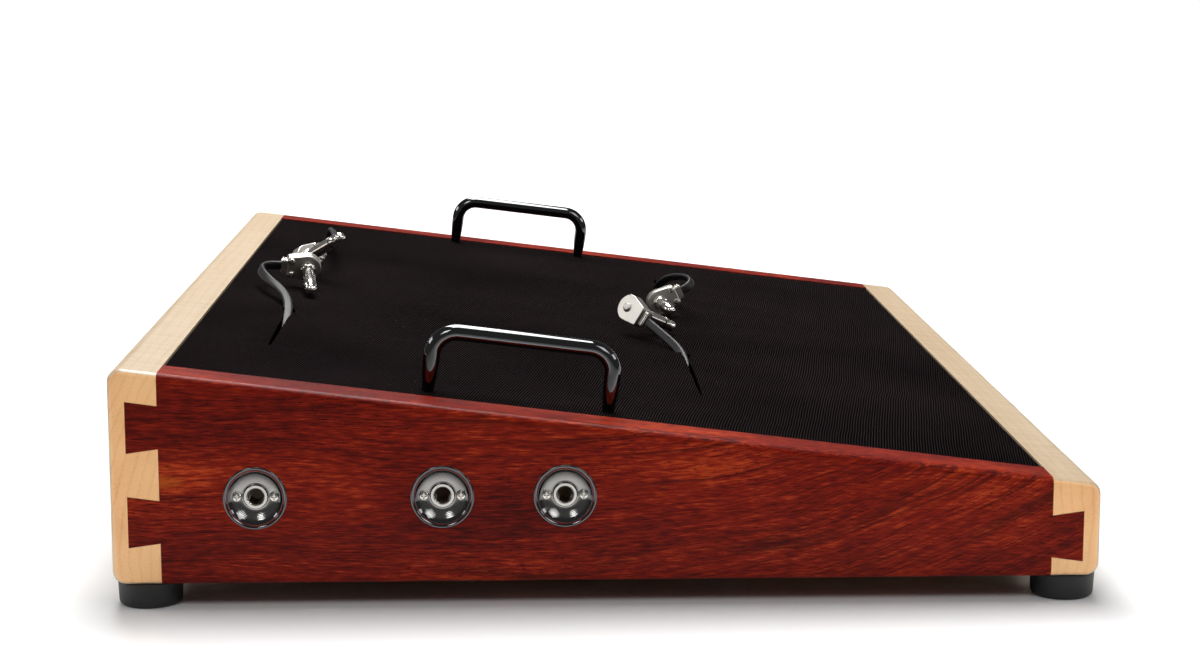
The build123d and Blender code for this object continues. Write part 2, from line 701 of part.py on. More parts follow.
# --- Patch plugs: flat cast housing, back cover, barrel, tip, insulating ring and screws ---

# The way that each plug's barrel points, along the deck, up its slope and off it.
BARREL_WAYS = {
    "rear_left": (-0.95, -0.15, -0.22),
    "rear_right": (-0.95, 0.05, 0.10),
    "front_left": (0.80, -0.52, -0.20),
    "front_right": (-0.95, 0.18, -0.17),
}


def plug_plane(name):
    """The plug's own frame at the barrel's root: the normal runs down the barrel, and x to the cable."""
    before, end = route_points(CABLE_ROUTES[name][-2:])
    inward = (end - before).normalized()
    down = deck_way(*BARREL_WAYS[name])
    down = (down - inward * down.dot(inward)).normalized()
    middle = (PLUG_THICKNESS - COVER_THICKNESS) / 2
    root = end + inward * (PLUG_REACH + PLUG_RELIEF) + down * middle
    return Plane(root, x_dir=-inward, z_dir=down)


def plug_outline():
    """A round head that narrows a little to the square cable end."""
    head = Circle(PLUG_HEAD)
    neck = RectangleRounded(PLUG_NECK_LENGTH, 2 * PLUG_NECK, PLUG_CORNER)
    neck = Pos(PLUG_REACH - PLUG_NECK_LENGTH / 2, 0) * neck
    return make_hull(head.edges() + neck.edges())


def plug_housing(name):
    plane = plug_plane(name)
    lower = PLUG_THICKNESS - COVER_THICKNESS
    body = extrude(plane * plug_outline(), amount=-lower)
    rims = body.faces().sort_by(Axis(plane.origin, plane.z_dir))[-1].edges()
    body = fillet(rims, PLUG_EDGE_ROUND)
    end = plane.from_local_coords(Vector(PLUG_REACH - 1, 0, -lower / 2))
    relief = Plane(end, x_dir=plane.z_dir, z_dir=plane.x_dir)
    body += extrude(relief * RectangleRounded(*RELIEF_SECTION, PLUG_CORNER), amount=PLUG_RELIEF + 1)
    for start in RIDGE_STARTS:
        ridge = relief.offset(start) * RectangleRounded(*RIDGE_SECTION, PLUG_CORNER)
        body += extrude(ridge, amount=RIDGE_WIDTH)
    body += extrude(plane * Circle(PLUG_COLLAR), amount=COLLAR_HEIGHT)
    body -= extrude(plane.offset(COLLAR_HEIGHT + 1) * Circle(PLUG_BORE), amount=-lower - COLLAR_HEIGHT)
    for at in plug_screw_places(plane):
        body -= rod(at, at - plane.z_dir * (PLUG_SCREW_DEPTH + 0.2), PLUG_SCREW_SHANK + SHANK_FIT)
    return body


def plug_screw_places(plane):
    """Where the two screws go in, on the barrel's side of the housing, each side of the cable."""
    return [plane.from_local_coords(Vector(x, y, 0)) for x, y in PLUG_SCREWS]


def plug_cover(name):
    """The back plate, with the head of the rivet that holds it on."""
    plane = plug_plane(name)
    back = plane.offset(-PLUG_THICKNESS)
    plate = extrude(back * plug_outline(), amount=COVER_THICKNESS)
    edges = plate.faces().sort_by(Axis(plane.origin, plane.z_dir))[0].edges()
    return fillet(edges, COVER_EDGE_ROUND) + turned(back, COVER_RIVET)


def plug_contacts(name):
    """The earthed barrel, and the tip: a pin through the barrel with a grooved ball end."""
    plane = plug_plane(name)
    start, end = INSULATOR
    root = COLLAR_HEIGHT + 0.02
    bore = TIP_CORE + 0.3
    step = PLUG_RADIUS + 0.5
    sleeve = turned(plane, [
        (bore, root), (step, root), (step, root + 0.9),
        (PLUG_RADIUS, root + 1.2), (PLUG_RADIUS, start), (bore, start),
    ])
    tip = turned(plane, [(0, -2.5), (TIP_CORE, -2.5), (TIP_CORE, end), (PLUG_RADIUS, end), *TIP_GROOVE])
    return Compound(children=[sleeve, tip])


def plug_insulators():
    """The ring between barrel and tip."""
    start, end = INSULATOR
    inner, outer = TIP_CORE + 0.03, PLUG_RADIUS - 0.02
    outline = [(inner, start + 0.02), (outer, start + 0.02), (outer, end - 0.02), (inner, end - 0.02)]
    return Compound(children=[turned(plug_plane(name), outline) for name in BARREL_WAYS])


def plug_screws():
    screws = []
    for name in BARREL_WAYS:
        plane = plug_plane(name)
        for at in plug_screw_places(plane):
            seat = Plane(at, x_dir=plane.x_dir, z_dir=plane.z_dir)
            shank = rod(at, at - plane.z_dir * PLUG_SCREW_DEPTH, PLUG_SCREW_SHANK)
            screws.append(shank + pan_head(seat, PLUG_SCREW_HEAD, 1))
    return Compound(children=screws)


def all_pieces():
    pieces = wooden_frame()
    pieces["deck_board"] = deck_board()
    pieces["deck_fabric"] = deck_fabric(cord_exits())
    pieces["deck_screws"] = deck_screws()
    pieces.update(cleats())
    corners = ("foot_front_left", "foot_front_right", "foot_rear_left", "foot_rear_right")
    for name, place in zip(corners, foot_places()):
        pieces[name] = foot(*place)
    pieces["foot_washers"], pieces["foot_screws"] = foot_hardware()
    pieces["left_handle"] = handle(-HALF_WIDTH + HANDLE_INSET)
    pieces["right_handle"] = handle(HALF_WIDTH - HANDLE_INSET)
    pieces["handle_washers"], pieces["handle_screws"] = handle_hardware()
    for name, y in JACK_Y.items():
        pieces[f"jack_cup_{name}"] = jack_cup(y)
        pieces[f"jack_frame_{name}"] = jack_frame(y)
        pieces[f"jack_insulator_{name}"] = jack_insulator(y)
        pieces[f"jack_tip_spring_{name}"] = jack_tip_spring(y)
    pieces["jack_cup_screws"] = jack_cup_screws()
    pieces["jack_tip_lugs"] = jack_tip_lugs()
    for name, route in CABLE_ROUTES.items():
        pieces[f"cable_{name}"] = cable(route_points(route))
    pieces["cable_clips"] = cable_clips()
    pieces["cable_tie"] = cable_tie()
    for name in BARREL_WAYS:
        pieces[f"plug_housing_{name}"] = plug_housing(name)
        pieces[f"plug_cover_{name}"] = plug_cover(name)
        pieces[f"plug_contacts_{name}"] = plug_contacts(name)
    pieces["plug_insulators"] = plug_insulators()
    pieces["plug_screws"] = plug_screws()
    return pieces


os.makedirs("parts", exist_ok=True)
for node, shape in all_pieces().items():
    export_step(shape, f"parts/{node}.step")
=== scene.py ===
import math

import bmesh
import bpy
from mathutils import Matrix, Vector


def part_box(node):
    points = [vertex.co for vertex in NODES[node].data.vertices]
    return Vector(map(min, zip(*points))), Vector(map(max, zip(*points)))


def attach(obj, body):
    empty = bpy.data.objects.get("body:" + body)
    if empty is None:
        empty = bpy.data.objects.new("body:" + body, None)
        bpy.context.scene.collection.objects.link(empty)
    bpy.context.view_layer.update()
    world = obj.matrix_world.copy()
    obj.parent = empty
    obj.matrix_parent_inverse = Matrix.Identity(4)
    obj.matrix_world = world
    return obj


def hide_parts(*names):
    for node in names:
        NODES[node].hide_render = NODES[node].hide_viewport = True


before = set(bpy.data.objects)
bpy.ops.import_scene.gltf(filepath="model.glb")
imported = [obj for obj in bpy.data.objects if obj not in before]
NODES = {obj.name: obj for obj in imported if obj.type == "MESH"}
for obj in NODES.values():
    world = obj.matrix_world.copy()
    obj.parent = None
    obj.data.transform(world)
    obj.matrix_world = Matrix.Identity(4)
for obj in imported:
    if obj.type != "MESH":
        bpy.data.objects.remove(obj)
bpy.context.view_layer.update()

# --- Camera, floor and lamps ---
# A low view of the board's left end, from a little above the deck, on a white glossy table that
# glows away from the board as painted light, and is painted darker toward the camera as painted
# shade.
# A wide soft lamp hangs over it, two more light its near end, and a strip lights each long side.

scene = bpy.context.scene
scene.view_settings.view_transform = "Standard"


def tint(red, green, blue):
    """A colour given as 0 to 255 screen values, in the linear values that Blender works in."""
    def linear(level):
        level /= 255
        return level / 12.92 if level < 0.04045 else ((level + 0.055) / 1.055) ** 2.4
    return linear(red), linear(green), linear(blue), 1.0


CAMERA_PLACE = Vector((-1.2454, 0.0379, 0.2742))
CAMERA_YAW = math.radians(-2.02)
CAMERA_PITCH = math.radians(9.32)
CAMERA_LENS = 72.7
SENSOR_WIDTH = 36.0
NEAREST_SEEN = 0.02

camera_data = bpy.data.cameras.new("view")
camera_data.lens = CAMERA_LENS
camera_data.sensor_width = SENSOR_WIDTH
camera_data.clip_start = NEAREST_SEEN
camera = bpy.data.objects.new("view", camera_data)
level_way = Vector((math.cos(CAMERA_YAW), math.sin(CAMERA_YAW), 0))
looking = level_way * math.cos(CAMERA_PITCH) - Vector((0, 0, math.sin(CAMERA_PITCH)))
camera.location = CAMERA_PLACE
camera.rotation_euler = looking.to_track_quat("-Z", "Y").to_euler()
scene.collection.objects.link(camera)
scene.camera = camera


def soft_lamp(name, place, aim, size, power):
    data = bpy.data.lights.new(name, "AREA")
    data.shape = "RECTANGLE"
    data.size, data.size_y = size
    data.energy = power
    lamp = bpy.data.objects.new(name, data)
    lamp.location = place
    lamp.rotation_euler = (Vector(aim) - Vector(place)).to_track_quat("-Z", "Y").to_euler()
    scene.collection.objects.link(lamp)


# Each lamp's name, place, the point that it lights, its size and its power.
LAMPS = [
    ("overhead", (0.5, 0.1, 1.5), (0.05, 0.0, 0.0), (0.75, 1.8), 46),
    ("fill", (-1.9, 1.0, 1.9), (-0.1, 0.0, 0.05), (0.7, 0.7), 10),
    ("key", (-1.4, -1.2, 1.5), (-0.1, 0.0, 0.05), (0.9, 0.9), 9),
    ("rear_strip", (0.2, 1.9, 1.0), (0.0, 0.1, 0.05), (1.6, 0.4), 8),
    ("front_strip", (-0.2, -1.9, 0.9), (0.0, -0.1, 0.05), (1.4, 0.4), 6),
]
WORLD_STRENGTH = 0.12
for lamp in LAMPS:
    soft_lamp(*lamp)

world = bpy.data.worlds.new("studio")
world.use_nodes = True
background = world.node_tree.nodes["Background"].inputs
background["Color"].default_value = (1.0, 1.0, 1.0, 1.0)
background["Strength"].default_value = WORLD_STRENGTH
scene.world = world


class Finish:
    """A material under construction: node() adds any shader node, and surface() ends it."""

    def __init__(self, name):
        self.material = bpy.data.materials.new(name)
        self.material.use_nodes = True
        self.tree = self.material.node_tree
        self.tree.nodes.clear()

    def node(self, kind, settings=None, inputs=None, output=0, stops=None):
        """Adds a node: its settings first, then the values or links of its sockets."""
        made = self.tree.nodes.new(kind)
        for name, value in (settings or {}).items():
            setattr(made, name, value)
        if stops:
            ramp = made.color_ramp.elements
            while len(ramp) < len(stops):
                ramp.new(0.5)
            for element, (place, colour) in zip(ramp, stops):
                element.position = place
                element.color = colour
        for name, value in (inputs or {}).items():
            if isinstance(value, Wire):
                self.tree.links.new(value.socket, made.inputs[name])
            else:
                made.inputs[name].default_value = value
        return Wire(self, made.outputs[output]) if made.outputs else None

    def place(self, stretch=(1, 1, 1)):
        """Object coordinates in metres, stretched by a factor along each axis."""
        here = self.node("ShaderNodeTexCoord", output="Object")
        return self.node("ShaderNodeMapping", {}, {"Vector": here, "Scale": stretch})

    def noise(self, vector, scale, detail=3.0, roughness=0.5):
        return self.node("ShaderNodeTexNoise", {}, {
            "Vector": vector, "Scale": scale, "Detail": detail, "Roughness": roughness})

    def parts(self, vector):
        """The three numbers of a vector."""
        made = self.node("ShaderNodeSeparateXYZ", {}, {"Vector": vector})
        return [Wire(self, socket) for socket in made.socket.node.outputs]

    def ramp(self, factor, stops):
        return self.node("ShaderNodeValToRGB", {}, {"Fac": factor}, stops=stops)

    def blend(self, factor, first, second, mode="MIX"):
        """Two colours mixed: a Mix node's colour sockets are its sixth and seventh inputs."""
        return self.node("ShaderNodeMix", {"data_type": "RGBA", "blend_type": mode}, {
            0: factor, 6: first, 7: second}, output=2)

    def relief(self, height, depth, strength=1.0):
        """A bump of that depth in metres."""
        return self.node("ShaderNodeBump", {}, {
            "Height": height, "Distance": depth, "Strength": strength})

    def surface(self, **sockets):
        """The shader itself. Names are the Principled sockets, with spaces as underscores."""
        named = {name.replace("_", " "): value for name, value in sockets.items()}
        shader = self.node("ShaderNodeBsdfPrincipled", {}, named)
        self.node("ShaderNodeOutputMaterial", {}, {"Surface": shader})
        return self.material


class Wire:
    """A shader socket that takes part in Python arithmetic by adding Math nodes."""

    def __init__(self, finish, socket):
        self.finish = finish
        self.socket = socket

    def maths(self, operation, first, second=0.0):
        return self.finish.node("ShaderNodeMath", {"operation": operation}, {0: first, 1: second})

    def __add__(self, other):
        return self.maths("ADD", self, other)

    def __sub__(self, other):
        return self.maths("SUBTRACT", self, other)

    def __rsub__(self, other):
        return self.maths("SUBTRACT", other, self)

    def __mul__(self, other):
        return self.maths("MULTIPLY", self, other)

    def __truediv__(self, other):
        return self.maths("DIVIDE", self, other)

    def __pow__(self, power):
        return self.maths("POWER", self, power)

    def wave(self):
        """From 0 to 1 and back, once for each unit."""
        return self.maths("SINE", self * math.tau) * 0.5 + 0.5

    def size(self):
        """The number without its sign."""
        return self.maths("ABSOLUTE", self)

    def eased(self, low, high):
        """0 below low, 1 above high, smooth between."""
        return self.finish.node("ShaderNodeMapRange", {"interpolation_type": "SMOOTHSTEP"}, {
            "Value": self, "From Min": low, "From Max": high})

    __radd__ = __add__
    __rmul__ = __mul__


def bright_metal(name, colour, roughness, scratch=0.04):
    """A plated metal that is duller in clouds, with fine scratches."""
    finish = Finish(name)
    cloud = finish.noise(finish.place(), 60.0, 3.0)
    fine = finish.noise(finish.place((1.0, 0.2, 1.0)), 1800.0, 2.0)
    duller = tuple(level * 0.94 for level in colour[:3]) + (1.0,)
    shade = finish.ramp(cloud, [(0.3, colour), (0.8, duller)])
    return finish.surface(Base_Color=shade, Metallic=1.0, Roughness=cloud * scratch + roughness,
                          Normal=finish.relief(fine, 0.000002, 0.12))


TABLE_SIZE = 60.0
BOARD_REACH_X = 0.285
BOARD_REACH_Y = 0.208
MERGE_WITHIN = 1e-7


def glossy_table():
    """White gloss laminate. It glows away from the board, as painted light, and is painted darker
    toward the camera, as painted shade.
    """
    finish = Finish("table")
    x, y, _ = finish.parts(finish.place())
    past_end = x.size() - BOARD_REACH_X
    past_side = y.size() - BOARD_REACH_Y
    beside = x.maths("MAXIMUM", past_end, past_side)
    beyond_front = x.eased(-0.43, -0.37)
    # Painted light: the table glows beside the board and most far behind it, with no glow close
    # round the board or toward the camera.
    glow = beside.eased(0.0, 0.08) * beyond_front * 0.25 + x.eased(0.5, 1.6) * 0.75
    lit = finish.node("ShaderNodeCombineXYZ", {}, {"X": glow, "Y": glow, "Z": glow})
    cloud = finish.noise(finish.place(), 3.0)
    # Painted shade: the table's colour is darker toward the camera, and white from near the board
    # onward.
    clear_of_painted_shade = x.eased(-0.62, -0.34)
    shade = finish.blend(clear_of_painted_shade, (0.5, 0.5, 0.5, 1.0), (0.93, 0.93, 0.935, 1.0))
    return finish.surface(Base_Color=shade, Roughness=cloud * 0.04 + 0.14,
                          Specular_IOR_Level=0.4, Emission_Color=lit, Emission_Strength=1.0)


def mesh_from(bm, name, material, smooth_below=40):
    """Ends a bmesh as a piece at the origin, smooth except where it turns by more degrees."""
    bmesh.ops.remove_doubles(bm, verts=bm.verts, dist=MERGE_WITHIN)
    bmesh.ops.recalc_face_normals(bm, faces=bm.faces)
    mesh = bpy.data.meshes.new(name)
    bm.to_mesh(mesh)
    bm.free()
    mesh.shade_smooth()
    mesh.set_sharp_from_angle(angle=math.radians(smooth_below))
    mesh.materials.append(material)
    piece = bpy.data.objects.new(name, mesh)
    scene.collection.objects.link(piece)
    return piece


table_mesh = bmesh.new()
bmesh.ops.create_grid(table_mesh, x_segments=1, y_segments=1, size=TABLE_SIZE / 2)
mesh_from(table_mesh, "table_top", glossy_table())

# --- Patch cables ---
# Four flat black cables, each 4.6 mm by 2.2 mm in soft PVC. Each is soldered to a jack, runs under
# the deck through nylon saddles, and comes up through its slit to a flat phone plug that lies on
# the cloth.

fabric_low, fabric_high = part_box("deck_fabric")
SLOPE = 0.125
TILT = math.atan(SLOPE)
DECK_RISE = Vector((0, math.cos(TILT), math.sin(TILT)))
DECK_NORMAL = Vector((0, -math.sin(TILT), math.cos(TILT)))
CABLE_WIDTH = 0.0046
CABLE_THICKNESS = 0.0022
PLUG_END_TWIST = 0.45


def deck_point(x, y, rise):
    """A point at that distance off the cloth, square to it."""
    surface = fabric_high.z - SLOPE * (fabric_high.y - y)
    return Vector((x, y, surface)) + DECK_NORMAL * rise


# Each cable's real length, then its route from the jack to the plug, as (x, y, distance off the
# cloth).
CABLES = {
    "rear_left": (0.233, [
        (-0.228, 0.1443, -0.038), (-0.213, 0.1448, -0.036), (-0.195, 0.1456, -0.0295),
        (-0.174, 0.1464, -0.022), (-0.152, 0.147, -0.0156), (-0.13, 0.1472, -0.0106),
        (-0.108, 0.1471, -0.006), (-0.088, 0.1472, -0.001), (-0.07, 0.1496, 0.0036),
        (-0.055, 0.155, 0.0058), (-0.042, 0.1616, 0.0072), (-0.03, 0.1666, 0.0086),
        (-0.019, 0.1686, 0.0096), (-0.0115, 0.1654, 0.0104), (-0.0105, 0.159, 0.0106)]),
    "rear_right": (0.608, [
        (-0.228, 0.0682, -0.03), (-0.212, 0.0696, -0.028), (-0.188, 0.076, -0.0214),
        (-0.145, 0.089, -0.018), (-0.092, 0.103, -0.0175), (-0.038, 0.116, -0.0178),
        (0.016, 0.127, -0.0176), (0.068, 0.136, -0.0182), (0.108, 0.142, -0.0216),
        (0.136, 0.1456, -0.028), (0.156, 0.147, -0.0344), (0.172, 0.1472, -0.0374),
        (0.187, 0.1472, -0.035), (0.196, 0.1472, -0.0274), (0.198, 0.1472, -0.0184),
        (0.1925, 0.1471, -0.0106), (0.183, 0.147, -0.0042), (0.1725, 0.1468, 0.0018),
        (0.161, 0.1462, 0.0072), (0.148, 0.145, 0.011), (0.133, 0.1434, 0.0128),
        (0.116, 0.1414, 0.0132), (0.098, 0.1394, 0.0134), (0.081, 0.1378, 0.0142),
        (0.066, 0.137, 0.0152), (0.0545, 0.1384, 0.0152), (0.048, 0.143, 0.0128)]),
    "front_left": (0.207, [
        (-0.228, 0.013, -0.024), (-0.213, 0.0114, -0.0234), (-0.197, 0.004, -0.021),
        (-0.182, -0.009, -0.0188), (-0.167, -0.0235, -0.0172), (-0.15, -0.0375, -0.0174),
        (-0.131, -0.0442, -0.0148), (-0.11, -0.0458, -0.0096), (-0.09, -0.0453, -0.0036),
        (-0.073, -0.0426, 0.0013), (-0.059, -0.0354, 0.005), (-0.0465, -0.0267, 0.0094)]),
    "front_right": (0.554, [
        (-0.228, 0.0205, -0.025), (-0.211, 0.0208, -0.0254), (-0.186, 0.016, -0.0224),
        (-0.144, 0.006, -0.0184), (-0.092, -0.006, -0.0176), (-0.038, -0.0176, -0.0178),
        (0.014, -0.0276, -0.0176), (0.06, -0.0358, -0.019), (0.092, -0.0406, -0.0232),
        (0.114, -0.0428, -0.029), (0.131, -0.0432, -0.0346), (0.145, -0.0433, -0.037),
        (0.159, -0.0433, -0.0344), (0.1675, -0.0433, -0.0266), (0.1685, -0.0433, -0.0176),
        (0.1625, -0.0433, -0.0104), (0.152, -0.0433, -0.005), (0.1405, -0.0434, 0.0),
        (0.128, -0.044, 0.0048), (0.115, -0.045, 0.009), (0.101, -0.0464, 0.0128),
        (0.087, -0.0484, 0.0158), (0.0735, -0.0508, 0.018), (0.061, -0.0532, 0.0196),
        (0.0505, -0.0548, 0.0198), (0.044, -0.054, 0.0176), (0.0434, -0.0496, 0.0146)]),
}
# The way down each plug's barrel: along x, up the deck's slope, and off the cloth.
BARREL_WAYS = {
    "rear_left": (-0.95, -0.15, -0.22),
    "rear_right": (-0.95, 0.05, 0.10),
    "front_left": (0.80, -0.52, -0.20),
    "front_right": (-0.95, 0.18, -0.17),
}

# The barrel's root is this far into the plug and this far down. The sections of the barrel and the
# tip are given as (radius, distance down the barrel).
PLUG_LENGTH = 0.0135
PLUG_MIDDLE = 0.00245
BARREL_TURNS = 40
BARREL_SECTION = [
    (0.0015, 0.00132), (0.0035, 0.00132), (0.00367, 0.0015), (0.00367, 0.0021), (0.0035, 0.0023),
    (0.00317, 0.0025), (0.00317, 0.02032), (0.00309, 0.0204), (0.0015, 0.0204), (0.0015, 0.00132)]
TIP_SECTION = [
    (0.0, -0.0025), (0.0012, -0.0025), (0.0012, 0.0216), (0.00309, 0.0216), (0.00317, 0.02168),
    (0.00317, 0.0236), (0.003, 0.0243), (0.00262, 0.0252), (0.00228, 0.026), (0.0022, 0.0264),
    (0.00232, 0.0268), (0.0027, 0.0273), (0.00292, 0.02775), (0.00293, 0.0281), (0.0027, 0.0286),
    (0.00215, 0.02915), (0.0015, 0.0297), (0.0008, 0.03008), (0.0, 0.0302)]
ROUTE_STEPS = 6
EDGE_STEPS = 6


def spline_points(control):
    """The points of one smooth open curve that is drawn by those control points."""
    curve = bpy.data.curves.new("route", "CURVE")
    curve.dimensions = "3D"
    curve.resolution_u = ROUTE_STEPS
    spline = curve.splines.new("NURBS")
    spline.points.add(len(control) - 1)
    for point, place in zip(spline.points, control):
        point.co = (*place, 1.0)
    spline.order_u = 3
    spline.use_endpoint_u = True
    holder = bpy.data.objects.new("route", curve)
    mesh = bpy.data.meshes.new_from_object(holder)
    places = [vertex.co.copy() for vertex in mesh.vertices]
    bpy.data.objects.remove(holder)
    bpy.data.curves.remove(curve)
    bpy.data.meshes.remove(mesh)
    return places


def plug_axes(name):
    """The plug's cable end, and the ways into the plug, down its barrel and across it."""
    before, end = (deck_point(*place) for place in CABLES[name][1][-2:])
    inward = (end - before).normalized()
    along, up_slope, off = BARREL_WAYS[name]
    down = Vector((along, 0, 0)) + DECK_RISE * up_slope + DECK_NORMAL * off
    down = (down - inward * down.dot(inward)).normalized()
    return end, inward, down, down.cross(-inward)


def ribbon_frames(path, first_side, last_side=None):
    """A turned and placed frame at each point of a path. The side is carried along without twist,
    and the twist that the last side needs is spread over the end of the path."""
    ways = [(b - a).normalized() for a, b in zip(path, path[1:])]
    ways.append(ways[-1])
    sides = [(first_side - ways[0] * first_side.dot(ways[0])).normalized()]
    for before, here in zip(ways, ways[1:]):
        sides.append((before.rotation_difference(here) @ sides[-1]).normalized())
    twist = 0.0
    if last_side is not None:
        level = sides[-1].cross(ways[-1])
        twist = math.atan2(-last_side.dot(level), last_side.dot(sides[-1]))
        if abs(twist) > math.pi / 2:
            twist -= math.copysign(math.pi, twist)
    frames = []
    for index, (place, way, side) in enumerate(zip(path, ways, sides)):
        share = index / (len(path) - 1)
        share = max(0.0, (share - 1 + PLUG_END_TWIST) / PLUG_END_TWIST)
        turned = Matrix.Rotation(twist * share * share * (3 - 2 * share), 3, way) @ side
        axes = Matrix((turned, way.cross(turned), way)).transposed()
        frames.append(Matrix.Translation(place) @ axes.to_4x4())
    return frames


def corners(made):
    """The vertices among the things that an operator made."""
    return [item for item in made if isinstance(item, bmesh.types.BMVert)]


def swept(bm, outline, frames):
    """Draws an outline of (across, up) points along a row of frames, and caps both ends."""
    ring = [bm.verts.new((across, up, 0)) for across, up in outline]
    first = bm.faces.new(ring)
    bmesh.ops.transform(bm, matrix=frames[0], verts=ring)
    edges = list(first.edges)
    for before, here in zip(frames, frames[1:]):
        made = bmesh.ops.extrude_edge_only(bm, edges=edges)["geom"]
        edges = [item for item in made if isinstance(item, bmesh.types.BMEdge)]
        bmesh.ops.transform(bm, matrix=here @ before.inverted(), verts=corners(made))
    bmesh.ops.contextual_create(bm, geom=edges)


def round_ended(width, thickness):
    """The outline of a flat cable: straight sides and half-round edges."""
    radius = thickness / 2
    reach = width / 2 - radius
    outline = []
    for end, start in ((1, -math.pi / 2), (-1, math.pi / 2)):
        for step in range(EDGE_STEPS + 1):
            angle = start + math.pi * step / EDGE_STEPS
            outline.append((end * reach + radius * math.cos(angle), radius * math.sin(angle)))
    return outline


def soft_pvc():
    finish = Finish("soft_pvc")
    fine = finish.noise(finish.place(), 2400.0, 2.0)
    broad = finish.noise(finish.place(), 90.0, 3.0)
    colour = finish.ramp(broad, [(0.3, tint(12, 11, 11)), (0.7, tint(22, 21, 21))])
    return finish.surface(Base_Color=colour, Roughness=broad * 0.16 + 0.38,
                          Specular_IOR_Level=0.35, Normal=finish.relief(fine, 0.00004, 0.4))


def turned_contacts(name, finish):
    """The plug's barrel and its ball-ended tip, each spun round the barrel's axis."""
    end, inward, down, across = plug_axes(name)
    root = end + inward * PLUG_LENGTH + down * PLUG_MIDDLE
    pieces = []
    for part, section in (("barrel", BARREL_SECTION), ("tip", TIP_SECTION)):
        bm = bmesh.new()
        line = [bm.verts.new(root + down * height + across * radius) for radius, height in section]
        edges = [bm.edges.new(pair) for pair in zip(line, line[1:])]
        bmesh.ops.spin(bm, geom=line + edges, cent=root, axis=down, dvec=(0, 0, 0),
                       angle=math.tau, steps=BARREL_TURNS, use_merge=True)
        piece = mesh_from(bm, f"plug_{part}_{name}", finish, 35)
        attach(piece, "board")
        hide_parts(f"plug_contacts_{name}")
        pieces.append(piece)
    return pieces


pvc = soft_pvc()
polished_nickel = bright_metal("polished_nickel", (0.86, 0.83, 0.78, 1.0), 0.1, 0.04)
for name, (length, route) in CABLES.items():
    path = spline_points([deck_point(*place) for place in route])
    _, _, _, across_plug = plug_axes(name)
    first_side = (path[1] - path[0]).cross(DECK_NORMAL)
    bm = bmesh.new()
    outline = round_ended(CABLE_WIDTH, CABLE_THICKNESS)
    swept(bm, outline, ribbon_frames(path, first_side, across_plug))
    cable = mesh_from(bm, f"patch_cable_{name}", pvc)
    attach(cable, "board")
    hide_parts(f"cable_{name}")
    plug_nodes = [NODES[f"plug_{part}_{name}"] for part in ("housing", "cover")]
    plug_nodes += turned_contacts(name, polished_nickel)

# --- End panels ---
# The two wedge-shaped ends are an oily red tropical hardwood. Its grain runs along the panel, with
# orange and near-black streaks and short dark pores, under a rubbed satin finish.

KNOT_Y = 0.1824
KNOT_Z = 0.0536
KNOT_HALF_LENGTH = 0.009
KNOT_HALF_HEIGHT = 0.0026


def dress(name, material):
    """Gives a CAD solid its material."""
    NODES[name].data.materials.clear()
    NODES[name].data.materials.append(material)


def red_hardwood():
    """Grain that rises a little toward the front, and bends round one small knot."""
    finish = Finish("red_hardwood")
    _, y, z = finish.parts(finish.place())
    sway = finish.noise(finish.place((1.0, 0.6, 1.0)), 8.0, 2.0)
    rise = (y * -1.0).eased(0.0, 0.4)
    long_way = finish.place((1.0, 0.045, 1.0))
    eye = ((y - KNOT_Y) / KNOT_HALF_LENGTH) ** 2.0 + ((z - KNOT_Z) / KNOT_HALF_HEIGHT) ** 2.0
    knot = 1.0 - eye.eased(0.0, 1.6)
    bend = sway * 0.034 - rise * 0.13 + knot * 0.0012
    lift = finish.node("ShaderNodeCombineXYZ", {}, {"X": sway * 0.006, "Z": bend})
    grain_place = finish.node(
        "ShaderNodeVectorMath", {"operation": "ADD"}, {0: long_way, 1: lift})
    fibres = finish.noise(grain_place, 2100.0, 3.0, 0.6)
    streaks = finish.noise(grain_place, 520.0, 5.0, 0.7)
    bands = finish.noise(grain_place, 70.0, 3.0, 0.5)
    patches = finish.noise(finish.place((1.0, 0.5, 1.0)), 22.0, 2.0)
    flecks = finish.noise(finish.place((1.0, 0.12, 1.0)), 1300.0, 3.0, 0.6)
    tone = fibres * 0.22 + streaks * 0.22 + bands * 0.12 + patches * 0.2 + flecks * 0.24
    colour = finish.ramp(tone, [
        (0.40, tint(54, 8, 5)), (0.46, tint(90, 15, 8)), (0.5, tint(114, 23, 10)),
        (0.54, tint(134, 34, 14)), (0.60, tint(180, 66, 27))])
    vein = 1.0 - (bands - 0.5).size().eased(0.0, 0.03)
    colour = finish.blend(vein * patches.eased(0.42, 0.6) * 0.6, colour, tint(36, 6, 5))
    colour = finish.blend(knot * 0.75, colour, tint(170, 78, 22))
    pores = finish.noise(finish.place((1.0, 0.14, 1.0)), 1700.0, 2.0, 0.5).eased(0.62, 0.68)
    pore = pores * finish.noise(finish.place((1.0, 0.3, 1.0)), 40.0, 2.0).eased(0.42, 0.6)
    colour = finish.blend(pore * 0.8, colour, tint(18, 4, 4))
    return finish.surface(Base_Color=colour, Roughness=fibres * 0.2 + pore * 0.2 + 0.28,
                          Coat_Weight=fibres * 0.03, Coat_Roughness=0.14, Specular_IOR_Level=0.07,
                          Normal=finish.relief(fibres - pore, 0.00006, 0.5))


padauk = red_hardwood()
for name in ("left_side_panel", "right_side_panel"):
    dress(name, padauk)

# --- Rails ---
# The tall rear rail and the low front rail are hard maple. The grain runs along each, so the ends
# show growth rings, and light curl crosses the tops.

RING_SPACING = 0.0043
RING_CENTRES = {"rear_rail": (0.06, 0.02), "front_rail": (-0.07, 0.035)}


